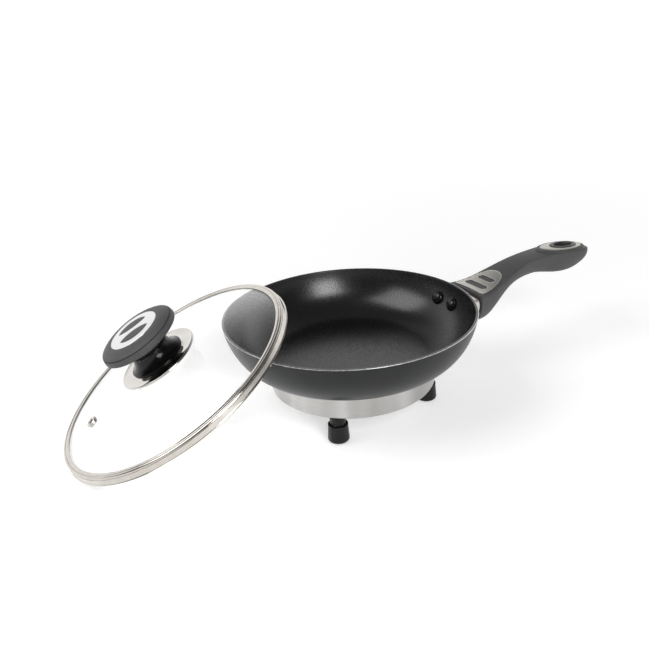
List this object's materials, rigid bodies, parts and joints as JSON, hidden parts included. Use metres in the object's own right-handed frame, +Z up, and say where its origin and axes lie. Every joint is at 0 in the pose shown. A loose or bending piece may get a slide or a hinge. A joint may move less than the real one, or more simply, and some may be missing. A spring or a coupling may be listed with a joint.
{
  "type": "electric frying pan",
  "caption": "Round electric frying pan on a footed base, with a long handle and a domed glass lid leaning on its rim.",
  "frame": {"origin": "on the table, on the axis of the round pan, at the centre of the plane the feet stand on", "axes": "+X from the pan's axis along the handle, +Y towards the mains inlet, +Z up"},
  "size_m": [0.574, 0.284, 0.1264],
  "materials": {
    "nonstick_coating": "non-stick coating with a fine sparkle inside, smooth dark grey satin outside, bare bright edge at the rim",
    "black_enamel": "glossy black coating on the rivet heads",
    "bare_aluminium": "bare pressed aluminium",
    "element_steel": "heat-darkened steel sheath",
    "plated_brass": "nickel-plated brass contacts",
    "white_ceramic": "unglazed white ceramic",
    "black_phenolic": "moulded black heat-proof plastic",
    "plain_steel": "zinc-plated steel",
    "brushed_stainless": "stainless steel brushed round the band",
    "polished_stainless": "polished stainless steel",
    "foot_rubber": "glossy black rubber",
    "pale_satin": "pale warm grey satin inlay",
    "soft_touch_black": "charcoal soft-touch plastic",
    "clear_glass": "clear tempered glass",
    "bright_chrome": "bright chrome plate",
    "gloss_black": "semi-gloss black plastic",
    "silver_satin": "bright satin silver",
    "silicone": "translucent silicone"
  },
  "bodies": {
    "pan": {"pan_body": "nonstick_coating", "handle_rivets": "black_enamel", "heat_spreader": "bare_aluminium", "heating_element": "element_steel", "power_pins": "plated_brass", "ceramic_beads": "white_ceramic", "probe_sleeve": "element_steel", "inlet_shroud": "black_phenolic", "earth_contact": "plated_brass", "inlet_brackets": "plain_steel", "inlet_screws": "plain_steel", "centre_stud": "plain_steel", "centre_nut": "plain_steel", "centre_washer": "plain_steel", "reflector_plate": "bare_aluminium", "base_skirt": "brushed_stainless", "bottom_cover": "plain_steel", "foot_stems": "black_phenolic", "foot_ferrules": "foot_rubber", "foot_screws": "plain_steel", "handle_bracket": "plain_steel", "flame_guard": "polished_stainless", "handle_inlay_plate": "pale_satin", "handle_end_ring": "pale_satin", "hanging_eyelet": "soft_touch_black", "handle_screw": "plain_steel", "handle_grip": "soft_touch_black"},
    "lid": {"lid_glass": "clear_glass", "lid_band": "polished_stainless", "steam_vent": "polished_stainless", "knob_skirt": "bright_chrome", "knob_stem": "gloss_black", "knob_cap": "soft_touch_black", "knob_inlay": "silver_satin", "knob_leaves": "soft_touch_black", "knob_screw": "plain_steel", "knob_washer": "plain_steel", "knob_seal": "silicone"}
  },
  "joints": [
    {"name": "lid_lift", "type": "slide", "parent": "pan", "child": "lid", "axis": [-0.4667, 0.0831, 0.8805], "range_m": [0, 0.12]}
  ]
}
